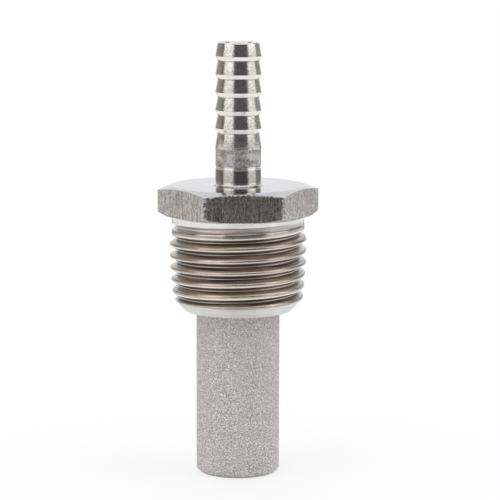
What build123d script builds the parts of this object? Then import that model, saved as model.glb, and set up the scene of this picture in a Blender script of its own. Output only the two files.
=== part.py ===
from build123d import *
import math
import os

# Inline aeration stone: a turned stainless fitting that holds a porous sintered metal cup.
# Gas enters at the hose barb on top and leaves through the wall of the cup below.
# Millimetres, +Z up. The origin is the centre of the flat foot that the stone stands on.
# A flat of the hexagon faces -Y.

# Porous stone, a cup of sintered metal closed at its foot
stone_diameter = 12.7
stone_exposed_length = 25.2
stone_seat_depth = 5.5
stone_wall = 3.0
stone_floor = 3.5
stone_edge_chamfer = 0.6
stone_seat_clearance = 0.03

# Nipple below the hexagon
nipple_length = 14.65
nipple_end_land = 1.75
nipple_chamfer_angle = 45.0
seat_lead_in = 0.2

# Taper pipe thread on the nipple, 14 turns to the inch
thread_pitch = 25.4 / 14
thread_diameter = 20.8
thread_depth = 1.2
thread_angle = 60.0
thread_taper = 1 / 16
thread_gauge_length = 8.13
thread_start_angle = 138.0
groove_overrun = 0.16

# Incomplete threads at both ends of the nipple
lead_length = 7.4
lead_angle = 5.0
collar_diameter = 20.2
collar_length = 1.95
collar_slope_length = 1.9
runout_gap = 0.68
runout_length = 1.96

# Hexagon
hex_across_flats = 21.3
hex_height = 4.5
hex_chamfer_circle = 20.1
hex_chamfer_angle = 16.0
hex_lower_circle = 22.3
hex_lower_angle = 25.0

# Shank and hose barb above the hexagon
shank_diameter = 6.96
shank_length = 2.25
shank_foot_radius = 0.3
groove_width = 0.5
groove_depth = 0.2
band_diameter = 6.9
band_length = 2.85
barb_diameter = 7.0
barb_neck_diameter = 6.3
ridge_count = 6
ridge_pitch = 2.73
ridge_back_length = 0.59
ridge_root_length = 0.2
lowest_ridge_extra = 0.38
nose_length = 2.02
nose_diameter = 6.4
nose_chamfer = 0.12

# Gas passage down the middle
gas_bore_diameter = 4.0
gas_bore_lead_in = 0.25

# Heights above the foot
nipple_end_z = stone_exposed_length
pocket_top_z = nipple_end_z + stone_seat_depth
hex_bottom_z = nipple_end_z + nipple_length
hex_top_z = hex_bottom_z + hex_height
band_bottom_z = hex_top_z + shank_length + groove_width
barb_bottom_z = band_bottom_z + band_length
nose_bottom_z = barb_bottom_z + lowest_ridge_extra + (ridge_count - 1) * ridge_pitch
overall_height = nose_bottom_z + nose_length
groove_start_z = nipple_end_z - thread_pitch / 2

# Radii that follow from the sizes above
stone_radius = stone_diameter / 2
pocket_radius = stone_radius + stone_seat_clearance
land_radius = stone_radius + nipple_end_land
crest_radius = thread_diameter / 2
collar_radius = collar_diameter / 2
bore_radius = gas_bore_diameter / 2


def turned(outline):
    """Turn a closed outline of (radius, height) points about the Z axis."""
    points = [(radius, 0, height) for radius, height in outline]
    profile = make_face(Polyline(*points, close=True))
    return revolve(profile, axis=Axis.Z)


def rise(run, angle):
    """Height gained over a run at an angle in degrees."""
    return run * math.tan(math.radians(angle))


def nipple_blank():
    """The nipple before threading: end chamfer, lead-in cone, full crest, slope and collar."""
    slope_top_z = hex_bottom_z - collar_length
    slope_bottom_z = slope_top_z - collar_slope_length
    lead_top_z = nipple_end_z + lead_length
    lead_bottom_radius = crest_radius - rise(lead_top_z - nipple_end_z, lead_angle)
    chamfer_slope = math.tan(math.radians(nipple_chamfer_angle))
    lead_slope = math.tan(math.radians(lead_angle))
    chamfer_height = (lead_bottom_radius - land_radius) / (1 / chamfer_slope - lead_slope)
    chamfer_top_radius = land_radius + chamfer_height / chamfer_slope
    return turned([
        (0, nipple_end_z),
        (land_radius, nipple_end_z),
        (chamfer_top_radius, nipple_end_z + chamfer_height),
        (crest_radius, lead_top_z),
        (crest_radius, slope_bottom_z),
        (collar_radius, slope_top_z),
        (collar_radius, hex_bottom_z),
        (0, hex_bottom_z),
    ])


def root_radius(height):
    """Radius of the thread's root, which follows the taper."""
    gauge_z = nipple_end_z + thread_gauge_length
    return crest_radius - thread_depth + (height - gauge_z) * thread_taper / 2


def groove_path():
    """A right-hand helix up the taper, from below the nipple's end to past its collar."""
    half_taper = math.atan(thread_taper / 2)
    turns = math.ceil(nipple_length / thread_pitch) + 1
    edges = []
    for turn in range(turns):
        start_z = groove_start_z + turn * thread_pitch
        edges += Helix(
            thread_pitch / math.cos(half_taper),
            thread_pitch,
            root_radius(start_z),
            center=(0, 0, start_z),
            cone_angle=math.degrees(half_taper),
        ).edges()
    return Wire(edges)


def groove_section():
    """The V that the threading tool leaves, a little deeper than the crests are high."""
    inner_radius = root_radius(groove_start_z)
    outer_radius = inner_radius + thread_depth + groove_overrun
    half_mouth = rise(outer_radius - inner_radius, thread_angle / 2)
    return make_face(Polyline(
        (inner_radius, 0, groove_start_z),
        (outer_radius, 0, groove_start_z - half_mouth),
        (outer_radius, 0, groove_start_z + half_mouth),
        close=True,
    ))


def runout_core():
    """The cone under the last thread, on which the groove grows shallow and ends."""
    vanish_z = hex_bottom_z - runout_gap
    root_z = vanish_z - runout_length
    slope = (collar_radius - root_radius(root_z)) / runout_length
    below = 2 * thread_pitch
    above = 2 * thread_pitch
    return turned([
        (0, root_z - below),
        (root_radius(root_z) - slope * below, root_z - below),
        (collar_radius + slope * above, vanish_z + above),
        (0, vanish_z + above),
    ])


def threaded_nipple():
    """The blank with its thread cut, full depth on the taper and fading out on the core."""
    groove = sweep(groove_section(), path=groove_path(), is_frenet=True)
    groove = groove.rotate(Axis.Z, thread_start_angle - 180)
    return nipple_blank() - (groove - runout_core())


def hexagon():
    """Hexagonal wrench grip, its corners turned off at both ends."""
    flats = RegularPolygon(hex_across_flats / 2, 6, major_radius=False)
    prism = extrude(Pos(0, 0, hex_bottom_z) * flats, hex_height)
    face_radius = hex_chamfer_circle / 2
    lower_radius = hex_lower_circle / 2
    outer_radius = 0.6 * hex_across_flats
    top_drop = rise(outer_radius - face_radius, hex_chamfer_angle)
    lower_rise = rise(outer_radius - lower_radius, hex_lower_angle)
    envelope = turned([
        (0, hex_bottom_z),
        (lower_radius, hex_bottom_z),
        (outer_radius, hex_bottom_z + lower_rise),
        (outer_radius, hex_top_z - top_drop),
        (face_radius, hex_top_z),
        (0, hex_top_z),
    ])
    return prism & envelope


def hose_barb():
    """Shank, turned groove, plain band and a stack of ridges that point up to the nose."""
    barb_radius = barb_diameter / 2
    neck_radius = barb_neck_diameter / 2
    shank_radius = shank_diameter / 2
    nose_radius = nose_diameter / 2
    groove_bottom_z = band_bottom_z - groove_width
    outline = [
        (0, hex_top_z),
        (shank_radius + shank_foot_radius, hex_top_z),
        (shank_radius, hex_top_z + shank_foot_radius),
        (shank_radius, groove_bottom_z),
        (shank_radius - groove_depth, groove_bottom_z + groove_width / 2),
        (band_diameter / 2, band_bottom_z),
        (band_diameter / 2, barb_bottom_z),
        (barb_radius, barb_bottom_z),
    ]
    for ridge in range(1, ridge_count):
        edge_z = barb_bottom_z + lowest_ridge_extra + ridge * ridge_pitch
        outline.append((neck_radius, edge_z - ridge_back_length - ridge_root_length))
        outline.append((neck_radius, edge_z - ridge_back_length))
        outline.append((barb_radius, edge_z))
    outline.append((nose_radius, overall_height - nose_chamfer))
    outline.append((nose_radius - nose_chamfer, overall_height))
    outline.append((0, overall_height))
    return turned(outline)


def gas_passage():
    """Through bore with a small lead-in at the nose, and the pocket for the stone."""
    mouth_radius = bore_radius + gas_bore_lead_in
    lip_radius = pocket_radius + seat_lead_in
    margin = thread_pitch
    return turned([
        (0, nipple_end_z - margin),
        (lip_radius, nipple_end_z - margin),
        (lip_radius, nipple_end_z),
        (pocket_radius, nipple_end_z + seat_lead_in),
        (pocket_radius, pocket_top_z),
        (bore_radius, pocket_top_z),
        (bore_radius, overall_height - gas_bore_lead_in),
        (mouth_radius, overall_height),
        (mouth_radius, overall_height + margin),
        (0, overall_height + margin),
    ])


def fitting_body():
    """The whole turned fitting, one piece of stainless bar."""
    return threaded_nipple() + hexagon() + hose_barb() - gas_passage()


def porous_stone():
    """Sintered cup: flat closed foot with a chamfered edge, open end seated in the pocket."""
    inner_radius = stone_radius - stone_wall
    return turned([
        (0, 0),
        (stone_radius - stone_edge_chamfer, 0),
        (stone_radius, stone_edge_chamfer),
        (stone_radius, pocket_top_z),
        (inner_radius, pocket_top_z),
        (inner_radius, stone_floor),
        (0, stone_floor),
    ])


os.makedirs("parts", exist_ok=True)
export_step(fitting_body(), "parts/fitting_body.step")
export_step(porous_stone(), "parts/porous_stone.step")
print("overall height", round(overall_height, 3))
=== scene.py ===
# %% [markdown]
# # An inline aeration stone
# The part is a turned stainless fitting that holds a cup of sintered metal. Gas goes in at the
# hose barb on top, passes down the bore and leaves through the pores of the cup as fine bubbles.
# The solids come ready made, at their real size and place. This script only dresses them: it
# makes finer meshes that lie where the solids lie, gives every surface the finish that its
# tools left, and sets up the camera and the light. Lengths are metres, apart from those inside
# the finishes, which are millimetres.

# %% The ready-made solids
import bmesh
import bpy
import math
from mathutils import Euler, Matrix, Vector


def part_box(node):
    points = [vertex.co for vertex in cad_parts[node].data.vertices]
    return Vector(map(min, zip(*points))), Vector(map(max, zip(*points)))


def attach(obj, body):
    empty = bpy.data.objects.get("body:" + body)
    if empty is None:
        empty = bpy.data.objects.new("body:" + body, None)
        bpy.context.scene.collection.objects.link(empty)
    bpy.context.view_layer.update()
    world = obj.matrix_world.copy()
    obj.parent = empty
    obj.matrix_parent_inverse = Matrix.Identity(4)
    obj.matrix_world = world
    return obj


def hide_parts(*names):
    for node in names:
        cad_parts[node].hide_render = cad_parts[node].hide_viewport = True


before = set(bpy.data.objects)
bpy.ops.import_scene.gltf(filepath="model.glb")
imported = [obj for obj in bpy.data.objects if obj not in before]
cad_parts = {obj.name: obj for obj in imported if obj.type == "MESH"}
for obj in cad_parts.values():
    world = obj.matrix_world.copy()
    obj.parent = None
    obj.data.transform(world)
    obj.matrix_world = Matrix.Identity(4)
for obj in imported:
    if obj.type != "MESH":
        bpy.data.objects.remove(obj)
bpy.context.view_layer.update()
print("solids:", sorted(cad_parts))

# %% [markdown]
# ## Sizes
# The solids' boxes hold most of the main sizes, so those are read and not typed again. Sizes
# that only one surface has are named where that surface is made.

# %% Sizes from the frame
MM = 0.001
fitting_low, fitting_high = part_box("fitting_body")
stone_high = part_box("porous_stone")[1]
nipple_end = round(fitting_low.z, 6)
nose_top = round(fitting_high.z, 6)
across_flats = round(fitting_high.y - fitting_low.y, 6)
stone_radius = round(stone_high.y, 6)
pocket_top = round(stone_high.z, 6)

nipple_length = 14.65 * MM
hex_height = 4.5 * MM
hex_bottom = nipple_end + nipple_length
hex_top = hex_bottom + hex_height
heights = (nipple_end, pocket_top, hex_bottom, hex_top, nose_top)
print("heights in mm:", [round(height / MM, 2) for height in heights])

# %% [markdown]
# ## The camera
# A product picture is taken from well back with a long lens, so that the barb and the foot are
# drawn at nearly the same scale. The camera stands a little left of a flat of the hexagon and
# looks slightly down. It aims a little right of the part, which moves the part left of the
# middle without any lens shift.

# %% Camera
def new_object(name, data):
    """Put an object in the scene."""
    thing = bpy.data.objects.new(name, data)
    bpy.context.collection.objects.link(thing)
    return thing


picture_width = 500
focal_pixels = 2485
axis_pixel_x = 238
camera_distance = 375.1 * MM
camera_height = 90.8 * MM
camera_side_angle = math.radians(4.75)
camera_tilt = math.radians(8.56)
camera_roll = math.radians(0.15)
nearest_seen = 0.01

camera_data = bpy.data.cameras.new("camera")
camera_data.lens = camera_data.sensor_width * focal_pixels / picture_width
camera_data.clip_start = nearest_seen
camera = new_object("camera", camera_data)
aim_beside = math.atan((picture_width / 2 - axis_pixel_x) / focal_pixels)
camera.location = (
    -camera_distance * math.sin(camera_side_angle),
    -camera_distance * math.cos(camera_side_angle),
    camera_height,
)
look = Euler((math.pi / 2 - camera_tilt, 0, -camera_side_angle - aim_beside)).to_matrix()
roll = Euler((0, 0, camera_roll)).to_matrix()
camera.rotation_euler = (look @ roll).to_euler()
bpy.context.scene.camera = camera
bpy.context.scene.view_settings.view_transform = "Standard"
print("lens:", round(camera_data.lens, 1), "mm")

# %% [markdown]
# ## Writing node trees as arithmetic
# The shapes and the finishes below are worked out point by point in node trees. Forty Math nodes
# are hard to read when every node and link is typed out. A small class that stands for "the
# number at this socket" lets them be written as sums, and makes the same nodes.

# %% Numbers inside a node tree
def plug(value, socket):
    """Join a number of a tree to a socket, or set the socket to a plain value."""
    if isinstance(value, Number):
        value.tree.links.new(value.socket, socket)
    else:
        socket.default_value = value


class Number:
    """A number that a node tree works out at every point of a surface."""

    def __init__(self, socket):
        self.tree = socket.id_data
        self.socket = socket

    def math(self, operation, *others):
        """What a Math node makes of this number and the others."""
        node = self.tree.nodes.new("ShaderNodeMath")
        node.operation = operation
        for value, socket in zip((self, *others), node.inputs):
            plug(value, socket)
        return Number(node.outputs[0])

    def __add__(self, other):
        return self.math("ADD", other)

    def __sub__(self, other):
        return self.math("SUBTRACT", other)

    def __mul__(self, other):
        return self.math("MULTIPLY", other)

    def __truediv__(self, other):
        return self.math("DIVIDE", other)

    def __rsub__(self, other):
        return self * -1 + other

    __radd__ = __add__

    def ramp(self, low, high):
        """0 below low, 1 above high, and a smooth step between them."""
        node = self.tree.nodes.new("ShaderNodeMapRange")
        node.interpolation_type = "SMOOTHSTEP"
        plug(self, node.inputs["Value"])
        plug(low, node.inputs["From Min"])
        plug(high, node.inputs["From Max"])
        return Number(node.outputs["Result"])

    def hump(self, rising, falling):
        """0, then 1 past the rising pair of values, and 0 again past the falling pair."""
        return self.ramp(*rising) * (1 - self.ramp(*falling))


def point(x, y, z):
    """Three numbers as one position."""
    node = x.tree.nodes.new("ShaderNodeCombineXYZ")
    for value, socket in zip((x, y, z), node.inputs):
        plug(value, socket)
    return node.outputs["Vector"]


def parts(position):
    """One position as three numbers."""
    split = position.id_data.nodes.new("ShaderNodeSeparateXYZ")
    position.id_data.links.new(position, split.inputs[0])
    return [Number(socket) for socket in split.outputs]


def hypotenuse(a, b):
    """The distance from the axis, of two numbers across it."""
    return (a * a + b * b).math("SQRT")


def tell(name, tree):
    """Print how many nodes a tree got."""
    print(name, "has", len(tree.nodes), "nodes")


print("arithmetic for node trees is ready")

# %% [markdown]
# ## Shape trees
# Geometry Nodes suit a surface that follows a rule, because the rule's sizes stay as named
# inputs that can be changed later by hand. Each tree here ends as real faces with a material,
# with its seam closed, and what it makes is kept as a plain mesh.

# %% Making and running a shape tree
seam_gap = 0.0015 * MM


def shape_tree(name, sizes):
    """A Geometry Nodes tree with a named input for each size. Returns it and its inputs."""
    tree = bpy.data.node_groups.new(name, "GeometryNodeTree")
    tree.interface.new_socket("Geometry", in_out="INPUT", socket_type="NodeSocketGeometry")
    for label, value in sizes.items():
        kind = "NodeSocketInt" if isinstance(value, int) else "NodeSocketFloat"
        tree.interface.new_socket(label, in_out="INPUT", socket_type=kind)
    tree.interface.new_socket("Finish", in_out="INPUT", socket_type="NodeSocketMaterial")
    tree.interface.new_socket("Geometry", in_out="OUTPUT", socket_type="NodeSocketGeometry")
    entry = tree.nodes.new("NodeGroupInput")
    numbers = {label: Number(entry.outputs[label]) for label in sizes}
    return tree, entry, numbers


def chain(geometry, *nodes):
    """Pass geometry through nodes one after another and return the last result."""
    for node in nodes:
        geometry.id_data.links.new(geometry, node.inputs[0])
        geometry = node.outputs[0]
    return geometry


def end_tree(tree, entry, geometry):
    """Close the seam, turn instances into faces, set the material and return the whole tree."""
    merge = tree.nodes.new("GeometryNodeMergeByDistance")
    merge.inputs["Distance"].default_value = seam_gap
    realize = tree.nodes.new("GeometryNodeRealizeInstances")
    finish = tree.nodes.new("GeometryNodeSetMaterial")
    tree.links.new(entry.outputs["Finish"], finish.inputs["Material"])
    result = chain(geometry, merge, realize, finish)
    tree.links.new(result, tree.nodes.new("NodeGroupOutput").inputs[0])
    tell(tree.name, tree)
    return tree


def what_it_makes(holder):
    """Keep what an object's modifier makes as a plain mesh, and remove the object."""
    depsgraph = bpy.context.evaluated_depsgraph_get()
    made = bpy.data.meshes.new_from_object(holder.evaluated_get(depsgraph), depsgraph=depsgraph)
    holder.modifiers.clear()
    bpy.data.objects.remove(holder)
    return made


def run_tree(tree, sizes, finish, start=None):
    """Run a shape tree on a mesh, or on nothing, and return the mesh that it makes."""
    holder = new_object("holder", start or bpy.data.meshes.new("start"))
    modifier = holder.modifiers.new("shape", "NODES")
    modifier.node_group = tree
    values = dict(sizes, Finish=finish)
    for item in tree.interface.items_tree:
        if item.in_out == "INPUT" and item.name in values:
            modifier[item.identifier] = values[item.name]
    made = what_it_makes(holder)
    print(tree.name, "made", len(made.polygons), "faces")
    return made


print("seams close within", round(seam_gap / MM, 4), "mm")

# %% [markdown]
# ### Rolling up a grid
# A round surface starts as a flat grid that is rolled round the axis, as a label goes round a
# can. A point's number gives its row and its column, and the column gives its angle. The last
# column lands on the first, where the seam is closed.

# %% Helpers for rolled surfaces
columns = 144


def flat_grid(tree, rows, columns_in):
    """A grid to roll up. Returns it, the row of each point and its share of a turn."""
    grid = tree.nodes.new("GeometryNodeMeshGrid")
    plug(rows, grid.inputs["Vertices X"])
    plug(columns_in + 1, grid.inputs["Vertices Y"])
    index = Number(tree.nodes.new("GeometryNodeInputIndex").outputs[0])
    row = (index / (columns_in + 1)).math("FLOOR")
    column = index - row * (columns_in + 1)
    return grid.outputs["Mesh"], row, column / columns_in


def roll_up(grid, radius, turn, height):
    """Put each point of a grid at its radius, share of a turn and height."""
    angle = turn * math.tau
    bend = turn.tree.nodes.new("GeometryNodeSetPosition")
    where = point(radius * angle.math("COSINE"), radius * angle.math("SINE"), height)
    turn.tree.links.new(where, bend.inputs["Position"])
    return chain(grid, bend)


print("one turn has", columns, "columns")

# %% [markdown]
# ## Shared marks of the tools
# Steel never shows one flat colour up close: a lathe leaves fine rings, drawn bar has lines
# along its length, and handling leaves dull patches. These are node groups that put out a mask
# or a height, with their amounts as inputs, so that each finish takes what it needs. They read
# the object's own coordinates, so they stay in place when the part is turned.

# %% Helpers for shader groups
def shader_group(name, inputs, outputs):
    """A shader node group with named number inputs and outputs."""
    tree = bpy.data.node_groups.new(name, "ShaderNodeTree")
    for label, value in inputs.items():
        socket = tree.interface.new_socket(label, in_out="INPUT", socket_type="NodeSocketFloat")
        socket.default_value = value
    for label in outputs:
        tree.interface.new_socket(label, in_out="OUTPUT", socket_type="NodeSocketFloat")
    entry = tree.nodes.new("NodeGroupInput")
    numbers = {label: Number(entry.outputs[label]) for label in inputs}
    return tree, numbers


def give_out(tree, **results):
    """Join numbers to a group's outputs of the same names, with spaces, and return the group."""
    leave = tree.nodes.new("NodeGroupOutput")
    for label, number in results.items():
        tree.links.new(number.socket, leave.inputs[label.replace("_", " ")])
    tell(tree.name, tree)
    return tree


def place(tree):
    """The object's own coordinates in millimetres, as three numbers."""
    coordinates = tree.nodes.new("ShaderNodeTexCoord")
    return [number * (1 / MM) for number in parts(coordinates.outputs["Object"])]


def noise(position, scale=1.0, detail=2.0, roughness=0.5):
    """Soft random values from about 0 to 1, with one bump per millimetre at scale 1."""
    node = position.id_data.nodes.new("ShaderNodeTexNoise")
    position.id_data.links.new(position, node.inputs["Vector"])
    plug(scale, node.inputs["Scale"])
    node.inputs["Detail"].default_value = detail
    node.inputs["Roughness"].default_value = roughness
    return Number(node.outputs["Fac"])


print("group helpers are ready")

# %% [markdown]
# ### Lathe rings
# A turning tool feeds a little with every turn, so its marks are rings that are close together
# along the profile and run nearly unchanged round the part. Noise does this when it is read fast
# along the radius and the height, and slowly round the axis. A wave texture would be too even.
# The fine rings are a height, and broad ones, where the tool chattered, are a shade.

# %% Group: lathe rings
broad_rings_per_mm = 1.7
on_axis = 0.001


def lathe_rings():
    amounts = {"Rings per mm": 12.0, "Wander": 0.6}
    tree, size = shader_group("lathe rings", amounts, ["Height", "Shade"])
    x, y, z = place(tree)
    radius = hypotenuse(x, y) + on_axis
    around_x = x / radius * size["Wander"]
    around_y = y / radius * size["Wander"]

    def rings(per_mm):
        return noise(point(around_x + radius * per_mm, around_y, z * per_mm), detail=3.0)

    return give_out(tree, Height=rings(size["Rings per mm"]), Shade=rings(broad_rings_per_mm))


lathe_ring_group = lathe_rings()

# %% [markdown]
# ### Drawn lines
# The hexagon is bar stock that was pulled through a die, so its flats carry fine scratches along
# the axis. The same noise, read fast across the flat and very slowly up it, gives them. A
# picture of scratches would do too, but it repeats, and has to be unwrapped onto six flats.

# %% Group: drawn lines
streaks_per_mm = 1.1


def drawn_lines():
    amounts = {"Lines per mm": 6.0, "Stretch": 30.0}
    tree, size = shader_group("drawn lines", amounts, ["Height", "Shade"])
    x, y, z = place(tree)
    lines = size["Lines per mm"]
    slow = z * lines / size["Stretch"]
    fine = noise(point(x * lines, y * lines, slow), detail=4.0, roughness=0.6)
    broad = point(x * streaks_per_mm, y * streaks_per_mm, slow * 0.5)
    return give_out(tree, Height=fine, Shade=noise(broad, detail=3.0, roughness=0.65))


drawn_line_group = drawn_lines()

# %% [markdown]
# ### Handling
# Fingers, coolant and packing leave soft dull patches and a few pits. They change the roughness
# and the tone a little, and without them polished steel looks like plastic chrome. They could be
# painted on by hand, but two noises, one broad and one fine, give them on every side at once.

# %% Group: handling marks
specks_per_mm = 5.5


def handling_marks():
    amounts = {"Patches per mm": 0.35}
    tree, size = shader_group("handling marks", amounts, ["Patches", "Specks"])
    here = point(*place(tree))
    patches = noise(here, size["Patches per mm"], detail=5.0, roughness=0.62)
    specks = noise(here, specks_per_mm, detail=2.0, roughness=0.6)
    return give_out(tree, Patches=patches.ramp(0.35, 0.7), Specks=specks.ramp(0.55, 0.72))


handling_group = handling_marks()

# %% [markdown]
# ## Building a finish
# Each finish is a Principled shader of its own. The groups feed its colour and roughness, and
# their heights feed one Bump node. Where a finish changes at an edge, the change is a short
# ramp, and its two ends are given as distances from that edge.

# %% Helpers for finishes
def new_finish(name, metallic):
    """A material with a Principled shader, and its node tree."""
    material = bpy.data.materials.new(name)
    material.use_nodes = True
    tree = material.node_tree
    tree.nodes["Principled BSDF"].inputs["Metallic"].default_value = metallic
    return material, tree


def use_group(tree, group, **amounts):
    """Place a shader group with its own amounts and return its outputs as numbers."""
    node = tree.nodes.new("ShaderNodeGroup")
    node.node_tree = group
    for label, value in amounts.items():
        plug(value, node.inputs[label.replace("_", " ")])
    return {socket.name: Number(socket) for socket in node.outputs}


def colour_between(factor, first, second):
    """A colour that goes from the first to the second, each plain or already mixed."""
    mix = factor.tree.nodes.new("ShaderNodeMix")
    mix.data_type = "RGBA"
    mix.clamp_factor = True
    plug(factor, mix.inputs["Factor"])
    for colour, label in ((first, "A"), (second, "B")):
        socket = next(s for s in mix.inputs if s.name == label and s.type == "RGBA")
        if isinstance(colour, tuple):
            socket.default_value = (*colour, 1)
        else:
            factor.tree.links.new(colour, socket)
    return next(s for s in mix.outputs if s.type == "RGBA")


def paint(material, colour, roughness, height, depth):
    """Join a finish's colour, roughness and bump, which is height times depth in metres."""
    tree = material.node_tree
    shader = tree.nodes["Principled BSDF"]
    tree.links.new(colour, shader.inputs["Base Color"])
    tree.links.new(roughness.socket, shader.inputs["Roughness"])
    bump = tree.nodes.new("ShaderNodeBump")
    bump.inputs["Distance"].default_value = depth
    tree.links.new(height.socket, bump.inputs["Height"])
    tree.links.new(bump.outputs["Normal"], shader.inputs["Normal"])
    tell(material.name, tree)
    return material


def span(edge, low, high):
    """Two places in mm, given by how far in mm they lie from an edge in metres."""
    return edge / MM + low, edge / MM + high


print("finish helpers are ready")

# %% [markdown]
# ### The dull band
# The plain band under the ridges was held in a collet while the rest was buffed, so it is grey
# and scuffed, with a few broad smudges. Right under the lowest ridge the smudges are darkened
# further, as painted shade. It is no piece of its own, so it gets no finish of its own either,
# but a colour that the finish of the turned steel takes on between two heights.

# %% Colour of the dull band
shank_height = 3.0 * MM
band_height = 2.6 * MM
band_bottom = hex_top + shank_height
band_top = band_bottom + band_height
scuffed_grey = ((0.17, 0.155, 0.15), (0.62, 0.605, 0.59))


def dull_band(x, y, z):
    """The band's colour with its painted shade, whether or not a point lies on the band."""
    smudge = noise(point(x, y, z * 1.6), 0.55, detail=2.0).ramp(0.38, 0.56)
    grain = noise(point(x, y, z * 0.8), 4.2, detail=2.0, roughness=0.7)
    # Painted shade: the band's smudges are darkened right under the lowest ridge.
    shade_under_ridge = z.ramp(*span(band_top, -0.75, -0.35)) * 0.35
    clean_less_shade = smudge * 0.5 + grain.ramp(0.4, 0.6) * 0.6 - shade_under_ridge * smudge
    return colour_between(clean_less_shade, *scuffed_grey)


print("band in mm:", [round(height / MM, 2) for height in (band_bottom, band_top)])

# %% [markdown]
# ### Bright turned steel
# The barb, the shank and the bore were turned and then buffed, which leaves small pits and a
# faint stain. The shank is duller between its foot and the two tool lines under the band. The
# short back of each ridge faces down to the white sheet and is given a paler colour, as a painted
# reflection of it, and the tool lines get a little of that colour too. Which part of a ridge a
# point lies on follows from its height, because the ridges are evenly spaced.

# %% Finish: bright turned steel
ridge_pitch = 2.73 * MM
lowest_ridge_extra = 0.38 * MM
first_edge = band_top + lowest_ridge_extra
bore_radius = 2.0 * MM
buffed_steel = ((0.46, 0.435, 0.405), (0.77, 0.745, 0.71))
pit_dark = (0.26, 0.24, 0.22)
# A paler steel, painted reflection on the ridges' backs and a little paler on the tool lines.
pale_highlight_steel = (0.84, 0.81, 0.775)


def bright_turned_steel():
    material, tree = new_finish("bright turned steel", metallic=1.0)
    rings = use_group(tree, lathe_ring_group, Rings_per_mm=14.0, Wander=0.5)
    marks = use_group(tree, handling_group)
    x, y, z = place(tree)
    here = point(x, y, z)
    band = z.hump(span(band_bottom, -0.05, 0.05), span(band_top, -0.05, 0.05))
    shank = z.hump(span(hex_top, 0.62, 0.67), span(band_bottom, -0.55, -0.5))
    tool_lines = z.hump(span(band_bottom, -0.55, -0.5), span(band_bottom, -0.05, 0.0))
    ridge = ((z - first_edge / MM) / (ridge_pitch / MM)).math("WRAP", 1.0, 0.0)
    outside = hypotenuse(x, y).ramp(*span(bore_radius, 0.7, 0.9))
    # Painted reflection: the downward backs of the ridges, which face the white sheet.
    sheet_reflection_backs = ridge.ramp(0.74, 0.8) * z.ramp(*span(first_edge, 0.0, 0.05)) * outside

    stain = noise(here, 1.1, detail=4.0, roughness=0.7)
    pits = noise(point(x, y, z * 1.2), 4.5, detail=1.0).ramp(0.54, 0.62)
    tone = rings["Shade"] * 0.6 + marks["Patches"] * 0.2 + stain.ramp(0.35, 0.65) * 0.4
    colour = colour_between(tone - shank * 0.75, *buffed_steel)
    colour = colour_between(pits * 0.55 + shank * 0.25, colour, pit_dark)
    colour = colour_between(sheet_reflection_backs + tool_lines * 0.3, colour, pale_highlight_steel)
    colour = colour_between(band, colour, dull_band(x, y, z))
    roughness = 0.12 + rings["Shade"] * 0.06 + marks["Specks"] * 0.12 + band * 0.22
    mottle = noise(here, 3.2, detail=3.0, roughness=0.6)
    return paint(material, colour, roughness, rings["Height"] + mottle * 2.0, 0.008 * MM)


turned_finish = bright_turned_steel()

# %% [markdown]
# ### Polished face
# The upper end of the hexagon was faced and then polished, so it mirrors the pale wall behind
# the part and the foot of the shank. Its rings are almost gone, so its bump is less than a
# thousandth of a millimetre. The turned steel's finish would blur what this face mirrors, so it
# has one of its own.

# %% Finish: polished face on top of the hexagon
polished_steel = ((0.53, 0.525, 0.54), (0.65, 0.645, 0.665))


def polished_face_steel():
    material, tree = new_finish("polished face", metallic=1.0)
    rings = use_group(tree, lathe_ring_group, Rings_per_mm=9.0, Wander=0.3)
    marks = use_group(tree, handling_group, Patches_per_mm=0.6)
    tone = rings["Shade"] * 0.4 + marks["Patches"] * 0.6
    colour = colour_between(tone, *polished_steel)
    return paint(material, colour, 0.07 + marks["Specks"] * 0.05, rings["Height"], 0.0004 * MM)


face_finish = polished_face_steel()

# %% [markdown]
# ### Worn edges of the hexagon
# Along its edges the bar is dented and rubbed. They lie where the hexagon is farthest from its
# axis, or nearest to the cones that turned its corners off. The same cones shape the mesh below.
# Pointiness would find the edges too, but it depends on how fine the mesh is.

# %% Mask: worn edges
sector = math.radians(60)
corner_reach = across_flats / 2 / math.cos(sector / 2)
upper_radius = 10.05 * MM
upper_slope = math.tan(math.radians(16))
lower_radius = 11.15 * MM
lower_slope = math.tan(math.radians(25))
upper_rub = 0.25
lower_rub = 0.35


def worn_edge(radius, z):
    """1 along the hexagon's edges and 0 on its flats, from the radius and height in mm."""
    corner = radius.ramp(*span(corner_reach, -0.42, -0.08))
    upper_cone = (radius - upper_radius / MM) * upper_slope
    under_top = 1 - (hex_top / MM - upper_cone - z).ramp(0.0, upper_rub)
    lower_cone = (radius - lower_radius / MM) * lower_slope
    over_bottom = 1 - (z - hex_bottom / MM - lower_cone).ramp(0.0, lower_rub)
    return corner.math("MAXIMUM", under_top).math("MAXIMUM", over_bottom)


print("corners reach", round(corner_reach / MM, 2), "mm from the axis")

# %% [markdown]
# ### Drawn flats
# The flats are the only surface that no lathe has touched. Their fine lines scatter light to the
# sides and hardly at all up or down, which is why the flat that faces the dark gap between the
# softboxes stays dark while its neighbours are grey. The lines are short and broken, so a
# stretched grain goes over them.

# %% Finish: drawn flats of the hexagon
drawn_steel = ((0.15, 0.125, 0.108), (0.68, 0.64, 0.595))


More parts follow.
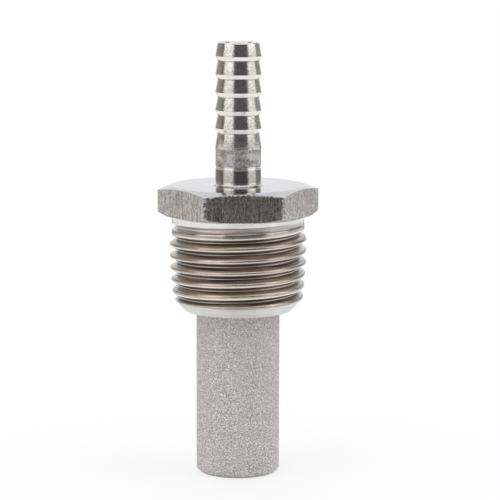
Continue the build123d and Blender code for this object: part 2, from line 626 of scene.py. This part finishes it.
def drawn_flat_steel():
    material, tree = new_finish("drawn flats", metallic=1.0)
    lines = use_group(tree, drawn_line_group, Lines_per_mm=4.5, Stretch=16.0)
    marks = use_group(tree, handling_group, Patches_per_mm=0.8)
    x, y, z = place(tree)
    dents = noise(point(x, y, z * 0.6), 4.0, detail=3.0, roughness=0.65)
    grain = noise(point(x, y, z * 0.45), 5.0, detail=2.0, roughness=0.75)
    worn = worn_edge(hypotenuse(x, y), z) * dents.ramp(0.42, 0.6)
    tone = lines["Height"].ramp(0.35, 0.65) * 0.3 + grain.ramp(0.4, 0.6) * 0.5
    tone = tone + lines["Shade"].ramp(0.25, 0.75) * 0.2 + marks["Patches"] * 0.15 + worn * 0.7
    colour = colour_between(tone, *drawn_steel)
    roughness = 0.17 + lines["Shade"] * 0.08 + marks["Specks"] * 0.06
    height = lines["Height"] + grain * 0.8 + worn * dents * 2.5
    return paint(material, colour, roughness, height, 0.022 * MM)


flat_finish = drawn_flat_steel()

# %% [markdown]
# ### Where a point lies on the thread
# The thread's finish changes from crest to root, so a point has to know where on the thread it
# is. Its depth below the blank tells crests from flanks. Its height above the nearest groove is
# what is left over when its height, less the helix's climb up to its angle, is divided by the
# pitch. The root lies at 0, and the lower edge of the next crest at about 0.7 mm. The mesh could
# carry this as an attribute, but worked out here it stays sharp between the mesh's points.

# %% Masks: crest, root highlight, groove shade and crest-edge highlight
thread_pitch = 25.4 / 14 * MM
first_groove = 24.5046 * MM
crest_radius = 10.4 * MM
collar_radius = 10.1 * MM
lead_height = nipple_end + 7.4 * MM
lead_slope = math.tan(math.radians(5))
gauge_height = nipple_end + 8.13 * MM
thread_depth = 1.2 * MM
root_slope = 1 / 32
narrow_top = hex_bottom - 2.85 * MM
narrow_length = 0.8 * MM
crest_depth = (0.08, 0.26)
# Ranges in mm from the root for the painted root highlight, the painted shade and the painted
# crest-edge highlight.
root_line = (0.03, 0.09)
groove_floor = (0.16, 0.36)
crest_underside = ((0.05, 0.15), (0.44, 0.6))
crest_edge_highlight_band = ((0.54, 0.64), (0.72, 0.86))


def blank_radius(z):
    """Radius in mm of the blank before threading, from the height in mm."""
    narrowing = (crest_radius - collar_radius) / narrow_length
    lead = (z - lead_height / MM) * lead_slope + crest_radius / MM
    narrow = (narrow_top / MM - z) * narrowing + collar_radius / MM
    neck = narrow.math("MAXIMUM", collar_radius / MM)
    return lead.math("MINIMUM", neck).math("MINIMUM", crest_radius / MM)


def groove_masks(x, y, z):
    """Painted root highlight, painted groove shade and painted highlight on the crests' lower edge.
    """
    angle = y.math("ARCTAN2", x)
    turns = (z - first_groove / MM) / (thread_pitch / MM) - angle / math.tau
    off_groove = turns.math("WRAP", 0.5, -0.5) * (thread_pitch / MM)
    from_root = off_groove.math("ABSOLUTE")
    deep = 1 - from_root.ramp(*groove_floor)
    groove_shade = deep.math("MAXIMUM", off_groove.hump(*crest_underside))
    return 1 - from_root.ramp(*root_line), groove_shade, off_groove.hump(*crest_edge_highlight_band)


print("thread pitch:", round(thread_pitch / MM, 4), "mm")

# %% [markdown]
# ### Cut thread
# A die leaves the flanks rough and lined. Cutting oil stays between them as a brown film. The
# root and the undersides of the crests get painted shade on top of it, and a thin painted
# highlight runs along the root. The film is glossy, so the flanks get a clear coat. The crests
# are rubbed lighter, and a bright line along their lower edge is a painted highlight. The last
# turn under the collar was wiped and gets no painted shade, and the collar and the nipple's end
# were turned after threading.

# %% Finish: cut thread
oil_film = ((0.10, 0.078, 0.06), (0.72, 0.595, 0.485))
rubbed_crest = ((0.36, 0.305, 0.255), (0.60, 0.52, 0.44))
wiped_turn = ((0.43, 0.4, 0.375), (0.65, 0.615, 0.585))
faced_steel = ((0.74, 0.725, 0.70), (0.86, 0.85, 0.825))
# Colours of the painted highlights on the root and on the crests' lower edge.
root_highlight_colour = (0.72, 0.66, 0.60)
crest_edge_highlight_colour = (0.90, 0.87, 0.82)
oil_gloss = 0.12


def cut_thread_steel():
    material, tree = new_finish("cut thread", metallic=1.0)
    rings = use_group(tree, lathe_ring_group, Rings_per_mm=6.0, Wander=1.6)
    marks = use_group(tree, handling_group, Patches_per_mm=0.5)
    x, y, z = place(tree)
    radius = hypotenuse(x, y)
    above_root = radius - (z - gauge_height / MM) * root_slope - (crest_radius - thread_depth) / MM
    crest = 1 - (blank_radius(z) - radius).ramp(*crest_depth)
    root_highlight, groove_shade, crest_edge_highlight = groove_masks(x, y, z)
    last_turn = z.ramp(*span(hex_bottom, -2.4, -1.9))
    end_face = 1 - z.ramp(*span(nipple_end, 1.45, 1.6))
    collar = z.ramp(*span(hex_bottom, -0.85, -0.7))
    faced = end_face.math("MAXIMUM", collar)
    flank = (1 - crest) * (1 - faced)

    die_lines = noise(point(above_root * 5.0, x * 0.12, y * 0.12 + z * 0.4), detail=2.0)
    # Painted shade: the root and the undersides of the crests are darkened, except on the last turn.
    thin = die_lines.ramp(0.35, 0.65) * 0.8 + 0.2 - groove_shade * (1 - last_turn) * 0.42
    tone = rings["Shade"].ramp(0.3, 0.7) * 0.6 + marks["Patches"] * 0.4
    colour = colour_between(thin, *oil_film)
    # Painted highlight: a pale line along the root.
    colour = colour_between(root_highlight, colour, root_highlight_colour)
    colour = colour_between(crest, colour, colour_between(tone, *rubbed_crest))
    colour = colour_between(last_turn * 0.7, colour, colour_between(tone, *wiped_turn))
    # Painted highlight: a bright line along each crest's lower edge.
    colour = colour_between(crest_edge_highlight * 0.9, colour, crest_edge_highlight_colour)
    colour = colour_between(faced, colour, colour_between(tone, *faced_steel))

    roughness = 0.21 + rings["Shade"] * 0.1 + marks["Specks"] * 0.08
    roughness = roughness + end_face * 0.26 + flank * 0.18 - last_turn * (1 - collar) * 0.1
    shader = tree.nodes["Principled BSDF"]
    tree.links.new(flank.socket, shader.inputs["Coat Weight"])
    shader.inputs["Coat Roughness"].default_value = oil_gloss
    return paint(material, colour, roughness, rings["Height"] + die_lines, 0.008 * MM)


thread_finish = cut_thread_steel()

# %% [markdown]
# ### Sintered metal
# The cup is stainless powder, pressed and baked until its grains join at their necks. Under a
# lens it is a heap of dull grains with dark pores between them. Each grain is about a tenth of a
# millimetre, which is finer than a mesh should be, so colour and bump carry it, and the mesh
# itself gets only the larger lumps. The lowest edge of the foot is darkened as a painted contact
# shadow.

# %% Finish: sintered grains
grains_per_mm = 9.0
pores_per_mm = 6.5
clumps_per_mm = 0.8
grain_colours = ((0.20, 0.182, 0.18), (1.0, 0.96, 0.945))


def sintered_grains():
    material, tree = new_finish("sintered grains", metallic=0.45)
    x, y, z = place(tree)
    here = point(x, y, z)
    grains = noise(here, grains_per_mm, detail=2.0, roughness=0.8)
    clumps = noise(here, clumps_per_mm, detail=3.0, roughness=0.6)
    pores = noise(here, pores_per_mm, detail=1.0).ramp(0.4, 0.28)
    # Painted contact shadow: the lowest 0.4 mm of the cup is drawn darker.
    foot_contact_shadow = 1 - z.ramp(0.05, 0.4)
    tone = grains.ramp(0.42, 0.58) * 0.95 + clumps * 0.12 - pores * 0.6 - foot_contact_shadow * 0.3
    colour = colour_between(tone, *grain_colours)
    return paint(material, colour, 0.75 + grains * 0.15, grains - pores * 0.6, 0.03 * MM)


stone_finish = sintered_grains()

# %% [markdown]
# ## Turning an outline
# Everything round is one outline turned about the axis, as on the lathe. The outline is a list of
# corners, each with the small radius that polishing left on it. Fillet Curve rounds the corners.
# Then each column of a grid takes the outline's points at its own angle. Screw would also turn an
# outline, but here the number of columns has to match the thread's, so that all the surfaces of
# the fitting can be joined into one skin.

# %% Tree: turned outline
turned_sizes = {"Columns": columns, "Corner steps": 2}


def turned_tree():
    tree, entry, size = shape_tree("turned outline", turned_sizes)
    corner_radius = tree.nodes.new("GeometryNodeInputNamedAttribute")
    corner_radius.inputs["Name"].default_value = "corner_radius"
    fillet = tree.nodes.new("GeometryNodeFilletCurve")
    fillet.mode = "POLY"
    plug(size["Corner steps"], fillet.inputs["Count"])
    tree.links.new(corner_radius.outputs["Attribute"], fillet.inputs["Radius"])
    fillet.inputs["Limit Radius"].default_value = True
    to_curve = tree.nodes.new("GeometryNodeMeshToCurve")
    to_line = tree.nodes.new("GeometryNodeCurveToMesh")
    line = chain(entry.outputs[0], to_curve, fillet, to_line)
    count = tree.nodes.new("GeometryNodeAttributeDomainSize")
    tree.links.new(line, count.inputs[0])
    rows = Number(count.outputs["Point Count"])
    grid, row, turn = flat_grid(tree, rows, size["Columns"])

    sample = tree.nodes.new("GeometryNodeSampleIndex")
    sample.data_type = "FLOAT_VECTOR"
    tree.links.new(line, sample.inputs["Geometry"])
    position = tree.nodes.new("GeometryNodeInputPosition")
    tree.links.new(position.outputs[0], sample.inputs["Value"])
    plug(row, sample.inputs["Index"])
    radius, _, height = parts(sample.outputs[0])
    return end_tree(tree, entry, roll_up(grid, radius, turn, height))


def outline_mesh(corners):
    """An open line of (radius, height, corner radius) corners, for the turned tree."""
    mesh = bpy.data.meshes.new("outline")
    points = [(radius, 0, height) for radius, height, _ in corners]
    mesh.from_pydata(points, [(i, i + 1) for i in range(len(points) - 1)], [])
    rounding = mesh.attributes.new("corner_radius", "FLOAT", "POINT")
    rounding.data.foreach_set("value", [corner[2] for corner in corners])
    return mesh


turning = turned_tree()

# %% [markdown]
# ## The hose barb and the bore
# The barb is a stack of cones. Each ridge is widest at its lower edge, so a hose slides on over
# the nose and bites when it is pulled back. The outline runs from the top of the hexagon up over
# the barb, down the bore, round the pocket that holds the cup, and ends at the nipple's flat
# end. The two tool lines between the shank and the band are only a tenth of a millimetre deep,
# but their walls catch the light, so they are real corners.

# %% Hose barb and bore
shank_radius = 3.48 * MM
shank_foot = 0.3 * MM
line_pitch = 0.25 * MM
line_count = 2
line_depth = 0.1 * MM
line_floor = 0.12 * MM
line_ridge = 0.05 * MM
band_radius = 3.45 * MM
barb_radius = 3.5 * MM
neck_radius = 3.15 * MM
ridge_count = 6
ridge_back = 0.59 * MM
ridge_root = 0.2 * MM
nose_radius = 3.2 * MM
nose_chamfer = 0.12 * MM
bore_lead_in = 0.25 * MM
pocket_radius = stone_radius + 0.03 * MM
seat_lead_in = 0.2 * MM
land_radius = stone_radius + 1.75 * MM
fine = 0.012 * MM
crisp = 0.03 * MM
rubbed_round = 0.07 * MM


def barb_outline():
    """The fitting's outline above the hexagon, and inside it down to the nipple's end."""
    lines_bottom = band_bottom - line_count * line_pitch
    line_radius = shank_radius - line_depth
    corners = [
        (shank_radius + shank_foot, hex_top, 0),
        (shank_radius, hex_top + shank_foot, rubbed_round),
        (shank_radius, lines_bottom, crisp),
    ]
    for line in range(line_count):
        bottom = lines_bottom + line * line_pitch
        corners.append((line_radius, bottom, fine))
        corners.append((line_radius, bottom + line_floor, fine))
        corners.append((line_radius + line_ridge, bottom + line_floor, fine))
    corners += [
        (line_radius, band_bottom, fine),
        (band_radius, band_bottom, crisp),
        (band_radius, band_top, crisp),
        (barb_radius, band_top, crisp),
    ]
    for ridge in range(1, ridge_count):
        edge = first_edge + ridge * ridge_pitch
        corners.append((neck_radius, edge - ridge_back - ridge_root, rubbed_round))
        corners.append((neck_radius, edge - ridge_back, rubbed_round))
        corners.append((barb_radius, edge, rubbed_round))
    return corners + [
        (nose_radius, nose_top - nose_chamfer, crisp),
        (nose_radius - nose_chamfer, nose_top, crisp),
        (bore_radius + bore_lead_in, nose_top, crisp),
        (bore_radius, nose_top - bore_lead_in, crisp),
        (bore_radius, pocket_top, crisp),
        (pocket_radius, pocket_top, crisp),
        (pocket_radius, nipple_end + seat_lead_in, crisp),
        (pocket_radius + seat_lead_in, nipple_end, crisp),
        (land_radius, nipple_end, 0),
    ]


barb_mesh = run_tree(turning, turned_sizes, turned_finish, outline_mesh(barb_outline()))

# %% [markdown]
# ## The pipe thread
# The thread is the hardest surface to make well. Sweeping a profile along a helix gives crests
# that have to be cut off against the blank and joined at both ends. Here the rows of the grid
# climb with the angle instead, so every row follows the helix, and the radius at each point is
# the smaller of the blank's and the groove's. The groove is a V whose root lies on a cone of 1
# in 16. Near the hexagon its floor rises along the helix until it meets the collar, so that the
# thread fades out. Rows past the ends are pressed onto them and merged. Smooth minimum and
# maximum round every edge, and the crests most.

# %% Sizes of the thread
thread_sizes = {
    "Columns": columns,
    "Rows per turn": 28,
    "Turns": 9.5,
    "Pitch": thread_pitch,
    "First groove": first_groove,
    "End": nipple_end,
    "Top": hex_bottom,
    "Land radius": land_radius,
    "Crest radius": crest_radius,
    "Lead height": lead_height,
    "Lead slope": lead_slope,
    "Depth": thread_depth,
    "Gauge height": gauge_height,
    "Root slope": root_slope,
    "Root flat": 0.02 * MM,
    "Flank slope": 1 / math.tan(math.radians(30)),
    "Collar radius": collar_radius,
    "Collar height": narrow_top,
    "Collar slope height": narrow_length,
    "Flare": math.tan(math.radians(6)),
    "Flare height": 0.85 * MM,
    "Run-out gap": 0.85 * MM,
    "Run-out height": 1.05 * MM,
    "Edge softness": 0.06 * MM,
    "Crest rounding": 0.45 * MM,
    "Rounding height": 1.5 * MM,
}
print("the thread has", len(thread_sizes), "sizes")

# %% Tree: taper thread
def blank_before_threading(size, height):
    """Radius of the blank: end chamfer, lead-in cone, full crest, slope, collar and flare."""
    softness = size["Edge softness"]
    chamfer = size["Land radius"] + height - size["End"]
    lead = size["Crest radius"] - (size["Lead height"] - height) * size["Lead slope"]
    slope_bottom = size["Collar height"] - size["Collar slope height"]
    narrowing = (size["Crest radius"] - size["Collar radius"]) / size["Collar slope height"]
    slope = size["Crest radius"] - (height - slope_bottom) * narrowing
    into_flare = (height - size["Top"] + size["Flare height"]).math("MAXIMUM", 0.0)
    collar = slope.math("SMOOTH_MAX", size["Collar radius"], softness)
    blank = chamfer
    for limit in (lead, size["Crest radius"], collar + into_flare * size["Flare"]):
        blank = blank.math("SMOOTH_MIN", limit, softness)
    return blank


def groove_cut(size, height, climb, phase):
    """Radius that the groove leaves: a V about its root, over a floor that rises to the end."""
    first_root = size["Crest radius"] - size["Depth"]
    off_groove = phase.math("WRAP", 0.5, -0.5) * size["Pitch"]
    from_root = (off_groove.math("ABSOLUTE") - size["Root flat"]).math("MAXIMUM", 0.0)
    root = first_root + (height - size["Gauge height"]) * size["Root slope"]
    groove = root + from_root * size["Flank slope"]
    begin = size["Top"] - size["Run-out gap"] - size["Run-out height"]
    root_there = first_root + (begin - size["Gauge height"]) * size["Root slope"]
    rise = (size["Collar radius"] - root_there) / size["Run-out height"]
    floor = root_there + (climb - off_groove - begin) * rise
    return groove.math("SMOOTH_MAX", floor, size["Edge softness"])


def thread_tree():
    tree, entry, size = shape_tree("taper thread", thread_sizes)
    rows = size["Rows per turn"] * size["Turns"] + 1
    grid, row, turn = flat_grid(tree, rows, size["Columns"])
    phase = row / size["Rows per turn"] - 1
    climb = size["First groove"] + size["Pitch"] * (turn + phase)
    height = climb.math("MAXIMUM", size["End"]).math("MINIMUM", size["Top"])
    fade = (size["Top"] - height).ramp(0.0, size["Rounding height"])
    blank = blank_before_threading(size, height)
    cut = groove_cut(size, height, climb, phase)
    radius = blank.math("SMOOTH_MIN", cut, fade * size["Crest rounding"])
    return end_tree(tree, entry, roll_up(grid, radius, turn, height))


thread_mesh = run_tree(thread_tree(), thread_sizes, thread_finish)

# %% [markdown]
# ## The hexagon
# The hexagon joins round surfaces above and below to six flats. It is made of rings with the
# same number of points as the turned surfaces. The inner rings are circles, the outer ones go
# round the flats, with their points gathered near the six corners so that a corner stays crisp.
# The corners are turned off by a flat cone at both ends, which gives the curved edge that every
# turned hexagon shows. A prism cut by two cones would be quicker to make, but such a cut leaves
# long thin faces that shade badly, and its ends would not meet the round surfaces point by point.

# %% Points round the hexagon
corner_rounding = 0.18 * MM
edge_support = 0.06 * MM
per_flat = columns // 6


def circle(radius, height):
    """A ring of points on a circle."""
    angles = [math.tau * i / columns for i in range(columns)]
    return [Vector((radius * math.cos(a), radius * math.sin(a), height)) for a in angles]


def along_flat(step):
    """How far from the middle of its flat a point of the hexagon's ring lies."""
    half_flat = across_flats / 2 * math.tan(sector / 2)
    straight = half_flat - corner_rounding * math.tan(sector / 2)
    side = -1 if step < per_flat / 2 else 1
    near = min(step, per_flat - step)
    if near == 1:
        return side * straight
    return side * (straight - edge_support) * (per_flat / 2 - near) / (per_flat / 2 - 2)


def hexagon_ring():
    """Points round the six flats as (x, y), from the corner on +X."""
    rounded_reach = corner_reach - corner_rounding * (1 / math.cos(sector / 2) - 1)
    ring = []
    for i in range(columns):
        flat, step = divmod(i, per_flat)
        if step == 0:
            outwards = Vector((math.cos(sector * flat), math.sin(sector * flat)))
            ring.append(rounded_reach * outwards)
            continue
        middle = sector * (flat + 0.5)
        outwards = Vector((math.cos(middle), math.sin(middle)))
        ring.append(across_flats / 2 * outwards + along_flat(step) * outwards.orthogonal())
    return ring


print("points on each flat:", per_flat)

# %% Rings of the hexagon
collar_top_radius = collar_radius + thread_sizes["Flare"] * thread_sizes["Flare height"]
edge_break = 0.05 * MM
end_shares = (0.04, 0.25, 0.5, 0.75, 0.93, 0.97)
side_shares = (0.0, 0.015, 0.2, 0.4, 0.6, 0.8, 0.985, 1.0)


def upper_end(p):
    """Height of the hexagon's upper end at a point, flat inside and a cone outside."""
    return hex_top - max(0.0, p.length - upper_radius) * upper_slope


def lower_end(p):
    """Height of the hexagon's lower end at a point."""
    return hex_bottom + max(0.0, p.length - lower_radius) * lower_slope


def end_rings(inner_radius, outer, height_at, shares):
    """Rings that spread from a circle to the hexagon, on one of its ends."""
    inner = [spot.to_2d() for spot in circle(inner_radius, 0)]
    for share in shares:
        ring = [a.lerp(b, share) for a, b in zip(inner, outer)]
        yield [Vector((*p, height_at(p))) for p in ring]


def hexagon_rings():
    """Rings from the collar to the foot of the shank, and how many lie under the upper end."""
    outer = hexagon_ring()
    rings = [circle(collar_top_radius, hex_bottom)]
    rings += end_rings(collar_top_radius, outer, lower_end, end_shares)
    for share in side_shares:
        lows = [lower_end(p) + edge_break for p in outer]
        highs = [upper_end(p) - edge_break for p in outer]
        rings.append([
            Vector((*p, low + (high - low) * share)) for p, low, high in zip(outer, lows, highs)
        ])
    under_upper_end = len(rings)
    rings += end_rings(upper_radius, outer, upper_end, reversed(end_shares))
    rings.append(circle(upper_radius, hex_top))
    rings.append(circle(shank_radius + shank_foot, hex_top))
    return rings, under_upper_end


hex_rings, edge_ring = hexagon_rings()
print("hexagon:", len(hex_rings), "rings of", columns, "points")

# %% [markdown]
# ## One skin for the fitting
# The real fitting is one piece of bar, so its surfaces are joined at the rings that they share.
# Shells that only touch would show a dark line between them. Weighted normals then keep the
# flats and the cones evenly lit, and leave the bending of the light to the narrow faces on the
# edges.

# %% Helpers for one skin
def add_mesh(skin, mesh, finish_number):
    """Add a mesh's faces to the skin in one finish."""
    first = len(skin.faces)
    skin.from_mesh(mesh)
    skin.faces.ensure_lookup_table()
    for face in skin.faces[first:]:
        face.material_index = finish_number


def add_rings(skin, rings, finish_number):
    """Add quads between rings that follow one another."""
    rows = [[skin.verts.new(p) for p in ring] for ring in rings]
    for low, high in zip(rows, rows[1:]):
        for i in range(columns):
            after = (i + 1) % columns
            face = skin.faces.new((low[i], low[after], high[after], high[i]))
            face.material_index = finish_number


def close_skin(name, skin):
    """Merge a skin's seams, turn its faces outwards and make it a smooth mesh."""
    bmesh.ops.remove_doubles(skin, verts=skin.verts, dist=seam_gap)
    bmesh.ops.dissolve_degenerate(skin, edges=skin.edges, dist=seam_gap / 10)
    bmesh.ops.recalc_face_normals(skin, faces=skin.faces)
    open_edges = sum(1 for edge in skin.edges if len(edge.link_faces) != 2)
    print(name, "has", open_edges, "open edges, and holds", round(skin.calc_volume() / MM**3), "mm3")
    mesh = bpy.data.meshes.new(name)
    skin.to_mesh(mesh)
    skin.free()
    mesh.shade_smooth()
    return mesh


def finished_piece(name, skin, finishes):
    """Make a closed skin a piece with weighted normals and its finishes."""
    mesh = close_skin(name, skin)
    for finish in finishes:
        mesh.materials.append(finish)
    holder = new_object("holder", mesh)
    holder.modifiers.new("weighted normals", "WEIGHTED_NORMAL")
    final = what_it_makes(holder)
    final.name = name
    piece = new_object(name, final)
    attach(piece, "root")
    print(name, "has", sum(len(face.vertices) - 2 for face in final.polygons), "triangles")
    return piece


print("skin helpers are ready")

# %% Join the fitting
finishes = [turned_finish, thread_finish, flat_finish, face_finish]
turned, threaded, drawn, polished = range(len(finishes))
fitting_skin = bmesh.new()
add_mesh(fitting_skin, barb_mesh, turned)
add_mesh(fitting_skin, thread_mesh, threaded)
add_rings(fitting_skin, hex_rings[:edge_ring], drawn)
add_rings(fitting_skin, hex_rings[edge_ring - 1:], polished)
fitting = finished_piece("fitting", fitting_skin, finishes)
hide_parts("fitting_body")

# %% [markdown]
# ## The sintered cup
# The cup is turned from its own outline, with its wall closed at the foot and open inside the
# pocket. Its outside gets many short rows, and a second tree pushes each point in or out by a
# little noise, so that even its outline has the fine roughness of pressed powder. Real grains
# strewn over it would need about a hundred thousand pieces.

# %% Tree: grainy surface
grain_sizes = {"Lumps per mm": 4.0, "Depth": 0.012 * MM, "Middle": 0.6, "Seed": 7.0}


def grain_tree():
    tree, entry, size = shape_tree("grainy surface", grain_sizes)
    position = tree.nodes.new("GeometryNodeInputPosition").outputs[0]
    lumps = tree.nodes.new("ShaderNodeTexNoise")
    lumps.noise_dimensions = "4D"
    tree.links.new(position, lumps.inputs["Vector"])
    plug(size["Seed"], lumps.inputs["W"])
    plug(size["Lumps per mm"] * (1 / MM), lumps.inputs["Scale"])
    outwards = tree.nodes.new("GeometryNodeInputNormal").outputs[0]
    push = tree.nodes.new("ShaderNodeVectorMath")
    push.operation = "SCALE"
    tree.links.new(outwards, push.inputs[0])
    height = (Number(lumps.outputs["Fac"]) - size["Middle"]) * size["Depth"]
    plug(height, push.inputs["Scale"])
    move = tree.nodes.new("GeometryNodeSetPosition")
    tree.links.new(push.outputs[0], move.inputs["Offset"])
    return end_tree(tree, entry, chain(entry.outputs[0], move))


graining = grain_tree()

# %% The cup
stone_wall = 3.0 * MM
stone_floor = 3.5 * MM
foot_chamfer = 0.6 * MM
foot_rounding = 0.5 * MM
stone_row = 0.13 * MM
foot_row = 0.39 * MM
stone_turned_sizes = dict(turned_sizes, Columns=300)


def stone_outline():
    """The cup's outline from the middle of its foot to the middle of its floor inside."""
    foot_radius = stone_radius - foot_chamfer
    hollow_radius = stone_radius - stone_wall
    bare_height = nipple_end - foot_chamfer
    foot_rows = math.ceil(foot_radius / foot_row)
    wall_rows = math.ceil(bare_height / stone_row)
    foot = [foot_radius * i / foot_rows for i in range(foot_rows)]
    wall = [foot_chamfer + bare_height * (i + 1) / wall_rows for i in range(wall_rows)]
    return (
        [(radius, 0.0, 0) for radius in foot]
        + [(foot_radius, 0.0, foot_rounding), (stone_radius, foot_chamfer, foot_rounding)]
        + [(stone_radius, height, 0) for height in wall]
        + [(stone_radius, pocket_top, crisp), (hollow_radius, pocket_top, crisp)]
        + [(hollow_radius, stone_floor, crisp), (0.0, stone_floor, 0)]
    )


cup_mesh = run_tree(turning, stone_turned_sizes, stone_finish, outline_mesh(stone_outline()))
cup_mesh = run_tree(graining, grain_sizes, stone_finish, cup_mesh)
stone_skin = bmesh.new()
add_mesh(stone_skin, cup_mesh, 0)
stone = finished_piece("stone", stone_skin, [stone_finish])
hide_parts("porous_stone")

# %% [markdown]
# ## The floor
# The part stands on a white sheet on a small table. To the camera the sheet fades into plain
# white away from the foot, but near the foot its own shade stays, with the soft shadow. The
# sheet ends at the table's edge, so polished steel also mirrors the darker room beyond it, which
# gives the dark stripes that show it is steel.

# %% Floor
table_side = 0.5
table_front = 0.175
table_back = 0.23
clearance = 0.02 * MM
shade_fades = (6.0, 60.0)
white_at_foot = 0.7
paper_colour = (0.9, 0.895, 0.905, 1)
white = (1, 1, 1, 1)


def white_sheet():
    material = bpy.data.materials.new("white sheet")
    material.use_nodes = True
    tree = material.node_tree
    tree.nodes.clear()
    paper = tree.nodes.new("ShaderNodeBsdfDiffuse")
    paper.inputs["Color"].default_value = paper_colour
    plain = tree.nodes.new("ShaderNodeEmission")
    plain.inputs["Color"].default_value = white
    x, y, _ = place(tree)
    away = hypotenuse(x, y).ramp(*shade_fades) * (1 - white_at_foot) + white_at_foot
    rays = tree.nodes.new("ShaderNodeLightPath")
    camera_ray = Number(rays.outputs["Is Camera Ray"])
    seen = (camera_ray + Number(rays.outputs["Is Glossy Ray"])).math("MINIMUM", 1.0)
    mix = tree.nodes.new("ShaderNodeMixShader")
    plug(away * seen, mix.inputs[0])
    tree.links.new(paper.outputs[0], mix.inputs[1])
    tree.links.new(plain.outputs[0], mix.inputs[2])
    tree.links.new(mix.outputs[0], tree.nodes.new("ShaderNodeOutputMaterial").inputs[0])
    return material


floor_mesh = bpy.data.meshes.new("floor")
table_corners = ((-table_side, -table_front), (table_side, -table_front))
table_corners += ((table_side, table_back), (-table_side, table_back))
floor_mesh.from_pydata([(*corner, -clearance) for corner in table_corners], [], [(0, 1, 2, 3)])
floor_mesh.materials.append(white_sheet())
floor = new_object("floor", floor_mesh)
print("floor in metres:", [round(side, 3) for side in floor.dimensions])

# %% [markdown]
# ## The light
# Polished metal shows the room more than itself, so the room is the light. The world is a shader
# too, and at every direction it gives the brightness that comes from there. Two tall softboxes,
# left and right of the camera, draw the bright stripes down the barb. The dark gap between them
# is the dark stripe. A wide soft ceiling lights the sheet, and a pale wall behind the part fills
# the polished top of the hexagon. Area lamps could do the same, but their edges are hard, and
# real softboxes fade towards their rims. The camera itself sees plain white, as in a cut-out.

# %% Room
base_light = 0.13
side_wall_light = 0.27
side_wall_begins = (80, 110)
ceiling_light = 1.45
ceiling_begins = (42, 51)
back_wall_light = 0.56
back_wall_begins = (145, 151)
back_wall_top = 66
softbox_light = 1.45
softbox_foot = (-26, 20)
softbox_top = (47, 53)
left_softbox = (-81, -26)
right_softbox = (52, 99)
rim = 3
room_colour = (0.98, 0.985, 1.0, 1)

world = bpy.data.worlds.new("room")
world.use_nodes = True
bpy.context.scene.world = world
room = world.node_tree
room.nodes.clear()


def room_directions():
    """The direction looked in: degrees to the right of the camera, and above the horizon."""
    coordinates = room.nodes.new("ShaderNodeTexCoord")
    x, y, z = parts(coordinates.outputs["Generated"])
    sine, cosine = math.sin(camera_side_angle), math.cos(camera_side_angle)
    rightwards = x * cosine - y * sine
    towards_camera = x * -sine - y * cosine
    degrees = 180 / math.pi
    return rightwards.math("ARCTAN2", towards_camera) * degrees, z.math("ARCSINE") * degrees


def between(number, low, high):
    """1 between two values and 0 outside them, with a soft rim."""
    return number.hump((low - rim, low + rim), (high - rim, high + rim))


def room_light():
    """How bright the room is in each direction."""
    sideways, upwards = room_directions()
    from_front = sideways.math("ABSOLUTE")
    light = base_light + from_front.ramp(*side_wall_begins) * side_wall_light
    boxes = between(sideways, *left_softbox) + between(sideways, *right_softbox)
    light = light + boxes * upwards.hump(softbox_foot, softbox_top) * softbox_light
    back_wall = from_front.ramp(*back_wall_begins) * between(upwards, -rim, back_wall_top)
    ceiling = upwards.ramp(*ceiling_begins) * ceiling_light
    return (light + back_wall * back_wall_light).math("MAXIMUM", ceiling)


painted = room.nodes.new("ShaderNodeBackground")
plug(room_light(), painted.inputs["Strength"])
painted.inputs["Color"].default_value = room_colour
cut_out = room.nodes.new("ShaderNodeBackground")
cut_out.inputs["Color"].default_value = white
choose = room.nodes.new("ShaderNodeMixShader")
room.links.new(room.nodes.new("ShaderNodeLightPath").outputs["Is Camera Ray"], choose.inputs[0])
room.links.new(painted.outputs[0], choose.inputs[1])
room.links.new(cut_out.outputs[0], choose.inputs[2])
room.links.new(choose.outputs[0], room.nodes.new("ShaderNodeOutputWorld").inputs[0])
tell("the room", room)
